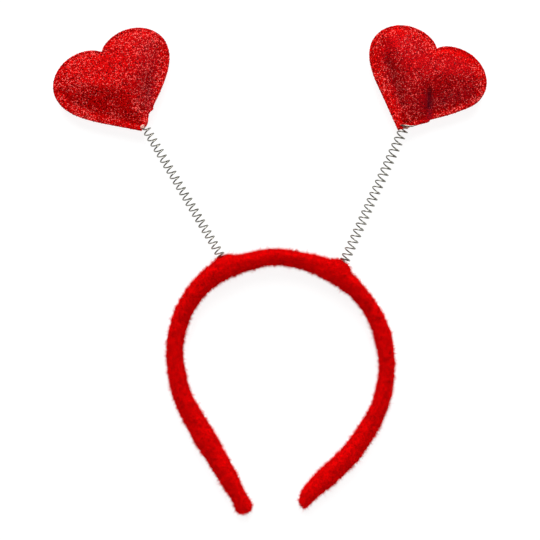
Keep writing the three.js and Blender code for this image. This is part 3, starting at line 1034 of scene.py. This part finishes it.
def distances(points, start, end):
    """Distance of each point to a straight stretch."""
    nearest = start + shares(points, start, end)[:, None] * np.subtract(end, start)
    return np.linalg.norm(points - nearest, axis=1)


def outline_edges(outline):
    return [*zip(outline, np.roll(outline, -1, axis=0))]


def depth_inside(points, outline, chosen=None):
    """Distance of each point to the outline, or to its chosen edges."""
    edges = outline_edges(outline)
    if chosen is not None:
        edges = [edge for edge, is_chosen in zip(edges, chosen) if is_chosen]
    return np.min([distances(points, *edge) for edge in edges], axis=0)


def inside_outline(points, outline):
    """Whether each point lies inside, by counting the edges that a line to its right crosses."""
    crossings = np.zeros(len(points), int)
    for (x0, y0), (x1, y1) in outline_edges(outline):
        spans = (y0 > points[:, 1]) != (y1 > points[:, 1])
        x = x0 + (points[:, 1] - y0) * (x1 - x0) / (y1 - y0 or 1)
        crossings += spans & (points[:, 0] < x)
    return crossings % 2 == 1


def heart_sheet(outline):
    """Points and triangles of a flat heart, evenly spread inside its outline. The outline comes first."""
    low, high = outline.min(0), outline.max(0)
    row_gap = HEART_SPACING * math.sqrt(3) / 2
    grid = []
    for row, y in enumerate(np.arange(low[1], high[1], row_gap)):
        for x in np.arange(low[0] + (row % 2) * HEART_SPACING / 2, high[0], HEART_SPACING):
            grid.append((x, y))
    grid = np.array(grid)
    grid = grid[inside_outline(grid, outline)]
    grid = grid[depth_inside(grid, outline) > HEART_SPACING * HEART_EDGE_SHARE]
    points = [Vector(p) for p in np.vstack([outline, grid])]
    ring = [(i, (i + 1) % len(outline)) for i in range(len(outline))]
    made = delaunay_2d_cdt(points, ring, [], SHEET_INSIDE, SHEET_TOLERANCE)
    return np.array([tuple(p) for p in made[0]]), [tuple(face) for face in made[2]]


def nearness(points, stretch):
    """From 1 on the middle of a crease or stripe to 0 far from it."""
    return np.exp(-((distances(points, stretch.start, stretch.end) / stretch.width) ** 2))


def creased(side, points):
    """How much of a crease is at each point, from 0 to 1, and how deep the creases are there and how much
    painted shade they have.
    """
    share, depth, dim = np.zeros((3, len(points)))
    for crease in HEART_CREASES[side]:
        near = nearness(points, crease) * ease(shares(points, crease.start, crease.end), 0, CREASE_FADE)
        share = np.maximum(share, near)
        depth += crease.depth * near
        dim += crease.dim * near
    return share, depth, dim


def slope(depth, ends):
    return (depth - ends[0]) / (ends[1] - ends[0])


def crested(slopes):
    """Lowest of some slopes that reach 1, rounded where they meet."""
    return -np.log(sum(np.exp(-HEART_CREST * part) for part in [*slopes, 1])) / HEART_CREST


def stuffed_height(stuffing, points, outline):
    """Height of a smoothly stuffed face over the heart's mid-plane."""
    x, y = outline.T
    lower = y < HEART_WIDEST
    lobe_x, lobe_y = LOBE_TOP
    from_tip = np.linalg.norm(points, axis=1) / HEART_TIP_REACH
    fuller = 1 + stuffing.tip_fullness * np.exp(-((from_tip / FULL_TIP_REACHES) ** 2))
    left = slope(depth_inside(points, outline, (x < 0) & lower) * fuller, stuffing.left)
    right = slope(depth_inside(points, outline, (x >= 0) & lower) * fuller, stuffing.right)
    below_lobes = depth_inside(points, outline, ~lower & (abs(x) >= lobe_x))
    below_notch = distances(points, (-lobe_x, lobe_y), (lobe_x, lobe_y))
    top = np.minimum(below_lobes, below_notch) / stuffing.top
    hem = ease(depth_inside(points, outline), *HEART_HEM)
    top_hem = ease(depth_inside(points, outline, ~lower), 0, HEART_HEM[1])
    swell = HEART_TIP_SWELL * np.exp(-(from_tip**2))
    stuffed = stuffing.height * (hem * top_hem) * np.maximum(0, crested([left, right, top]))
    return HEART_RIM + swell + stuffed


def inflated(piece, weights):
    """Lets a closed piece swell as cloth, held by weights. Returns its points in millimetres."""
    pins = piece.vertex_groups.new(name="pins")
    for index, weight in enumerate(weights):
        pins.add([index], float(weight), "REPLACE")
    cloth = piece.modifiers.new("cloth", "CLOTH")
    for name, value in CLOTH_SETTINGS.items():
        setattr(cloth.settings, name, value)
    cloth.settings.vertex_group_mass = pins.name
    cloth.settings.effector_weights.gravity = 0
    cloth.point_cache.frame_end = SIM_FRAMES
    for step in range(1, SIM_FRAMES + 1):
        bpy.context.scene.frame_set(step)
    evaluated = piece.evaluated_get(bpy.context.evaluated_depsgraph_get())
    points = np.array([v.co for v in evaluated.data.vertices]) / (MM * SIM_SCALE)
    bpy.context.scene.frame_set(1)
    return points


def swollen_heart(side, points, faces, weights):
    """Points of a heart after its cloths have swollen, none of them moved by more than the cap."""
    model = mesh_piece(f"heart_{side}_swelling", points * SIM_SCALE, faces)
    swollen = inflated(model, weights)
    bpy.data.objects.remove(model)
    return points + np.clip(swollen - points, -SIM_CAP, SIM_CAP)


def glue_seat(side):
    """Where the glue sits over the end of a spring's wire."""
    _, direction, _, tip = spring_axis(side)
    return tip + direction * (GLUE_BELOW + CLEARANCE + WIRE_RADIUS)


def placed_heart(side, points):
    """Points of the heart's own frame at the heart's place, none below the floor."""
    lean = SIDES[side] * math.radians(HEART_LEAN[side])
    up = np.array([math.sin(lean), math.cos(lean)])
    right = np.array([up[1], -up[0]])
    across, rise = HEART_SEAT[side]
    corner = glue_seat(side) - right * across - up * rise
    flat = corner + points[:, :1] * right + points[:, 1:2] * up
    return np.column_stack([flat, np.maximum(HEART_FLOOR_GAP, points[:, 2] + HEART_MID_HEIGHT)])


def heart_start(side, flat, outline, crease_depth):
    """Points of both cloths before they swell: almost as high as their stuffing, and creased in front."""
    front = stuffed_height(HEART_FRONT[side], flat, outline)
    back = stuffed_height(HEART_BACK, flat, outline)
    front, back = (HEART_RIM + (height - HEART_RIM) * SIM_START for height in (front, back))
    front = np.maximum(HEART_RIM, front - crease_depth)
    return np.vstack([np.column_stack([flat, front]), np.column_stack([flat, -back])])


def heart_faces(triangles, count, rim):
    """Triangles of the front and the back, and then the faces of the cut edge between them."""
    faces = triangles + [(a + count, c + count, b + count) for a, b, c in triangles]
    for i in range(rim):
        beside = (i + 1) % rim
        faces.append((i, i + count, beside + count, beside))
    return faces


def heart_marks(side, flat, inside, crease_painted_shade):
    """How much painted shade the front has at each point, and how many more of its flakes have painted glints
    there.
    """
    dim = crease_painted_shade * np.minimum(1, inside / CREASE_HEM) + HEART_PAINTED_SHADE[side] * ease(inside, *HEART_PAINTED_SHADE_REACH)
    glints = np.zeros(len(flat))
    for stripe in HEART_STRIPES[side]:
        near = nearness(flat, stripe)
        dim += stripe.dim * near
        glints += stripe.glints * near
    return {"dim": dim, "glints": glints}


def heart_cloth(side):
    """Two cloths joined at a flat margin, swollen by their stuffing, with a cut edge of felt."""
    outline = heart_outline(side)
    flat, triangles = heart_sheet(outline)
    count, rim = len(flat), len(outline)
    inside = depth_inside(flat, outline)
    share, depth, dim = creased(side, flat)
    points = heart_start(side, flat, outline, depth * np.minimum(1, inside / HEART_MARGIN))
    faces = heart_faces(triangles, count, rim)
    margin = (inside <= HEART_MARGIN).astype(float)
    held = np.maximum(margin, SIM_HOLD)
    weights = np.concatenate([np.maximum(held, SIM_CREASE_HOLD * share), held])
    points = swollen_heart(side, points, faces, weights)
    piece = mesh_piece(f"heart_{side}_cloth", placed_heart(side, points), faces, GLITTER)
    piece.data.materials.append(FELT)
    for face in piece.data.polygons[len(faces) - rim :]:
        face.material_index = piece.data.materials.find(FELT.name)
        face.use_smooth = False
    for name, front in heart_marks(side, flat, inside, dim).items():
        values = piece.data.attributes.new(name, "FLOAT", "POINT")
        values.data.foreach_set("value", np.concatenate([front, np.zeros(count)]))
    return piece


def heart_flakes(side, cloth, tree):
    values = {
        "Density": FLAKES_PER_SQUARE_MM / MM**2,
        "Length": FLAKE_HEIGHT * MM,
        "Width": FLAKE_RADIUS * MM,
        "Spread": FLAKE_SPREAD,
        "Tuft": 0.0,
        "Seed": FLAKE_SEEDS[side],
    }
    return grown(f"heart_{side}_glitter", tree, values, cloth.data)


def glue_dab(side):
    """Egg of glue round the wire's end, uneven, in the tip of a heart."""
    dab = GLUE_DABS[side]
    _, direction, across, _ = spring_axis(side)
    middle = glue_seat(side) + direction * dab.shift_along + across * dab.shift_across
    lump_shift = Vector((SIDES[side] * GLUE_LUMP_SHIFT, 0, 0))
    points = []
    for i in range(1, GLUE_RINGS):
        angle = math.pi * i / GLUE_RINGS - math.pi / 2
        ring, rise = math.cos(angle), math.sin(angle)
        for k in range(GLUE_SIDES):
            turn = math.tau * k / GLUE_SIDES
            unit = np.array([ring * math.cos(turn), rise, ring * math.sin(turn)])
            swell = 1 + GLUE_UNEVENNESS * noise.noise(Vector(unit * GLUE_LUMPS) + lump_shift)
            x, y, z = unit * swell * (dab.across, dab.along, dab.deep)
            points.append((*(middle + across * x + direction * y), SPRING_HEIGHT + z))
    points.append((*(middle - direction * dab.along), SPRING_HEIGHT))
    points.append((*(middle + direction * dab.along), SPRING_HEIGHT))
    return mesh_piece(f"glue_{side}_dab", points, skin_faces(GLUE_RINGS - 1, GLUE_SIDES), GLUE)


# Band
plush = made_outward(band_skin())
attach(plush, "band")
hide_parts("band")
pile_maker = pile_tree()
for pile in PILES:
    fibres = band_pile(plush, pile_maker, pile)
    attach(fibres, "band")

# Springs, hearts and glue
wire_maker = spring_tree()
flake_maker = flake_tree()
for side in SIDES:
    heart_body = f"heart_{side}"
    foot, _, _, tip = spring_axis(side)
    wire = spring_wire(side, wire_maker)
    row_point(foot, SPRING_HEIGHT)
    row_point(tip, SPRING_HEIGHT)
    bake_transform(wire)
    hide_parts(f"spring_{side}")

    cloth = made_outward(heart_cloth(side))
    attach(cloth, heart_body)
    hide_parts(heart_body)

    flakes = heart_flakes(side, cloth, flake_maker)
    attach(flakes, heart_body)

    dab = made_outward(glue_dab(side))
    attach(dab, heart_body)
    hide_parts(f"glue_{side}")

# Floor, a hair below what lies on it
FLOOR_HALF = 3000
FLOOR_DROP = 0.1
FLOOR_CORNERS = [(-1, -1), (1, -1), (1, 1), (-1, 1)]
floor_points = [(x * FLOOR_HALF, y * FLOOR_HALF, -FLOOR_DROP) for x, y in FLOOR_CORNERS]
mesh_piece("floor", floor_points, [(0, 1, 2, 3)], FLOOR)

# Lights: height over the floor, how far to the left of the top of the picture, spread and strength.
Lamp = namedtuple("Lamp", "name height side spread strength")
LAMPS = [Lamp("key", 40, 2.5, 50, 4.75), Lamp("fill", 14, -100, 60, 0.3)]
for lamp in LAMPS:
    light = bpy.data.lights.new(lamp.name, "SUN")
    light.angle = math.radians(lamp.spread)
    light.energy = lamp.strength
    sun = linked(lamp.name, light)
    sun.rotation_euler = (math.radians(lamp.height - 90), 0, math.radians(lamp.side))

# Soft light from all round
WORLD_STRENGTH = 0.12
world = bpy.data.worlds.new("studio")
world.use_nodes = True
background = world.node_tree.nodes["Background"]
background.inputs["Color"].default_value = grey(1)
background.inputs["Strength"].default_value = WORLD_STRENGTH
bpy.context.scene.world = world
bpy.context.scene.view_settings.view_transform = "Standard"

# Camera straight above: middle and width of the picture at the height of the springs
VIEW_CENTRE = (-4.85, -7.35)
VIEW_WIDTH = 307.8
VIEW_PLANE = 7
CAMERA_DISTANCE = 550
SENSOR = 36
camera = linked("camera", bpy.data.cameras.new("camera"))
camera.data.sensor_width = SENSOR
camera.data.lens = SENSOR * CAMERA_DISTANCE / VIEW_WIDTH
camera.location = row_point(VIEW_CENTRE, VIEW_PLANE + CAMERA_DISTANCE)
bpy.context.scene.camera = camera
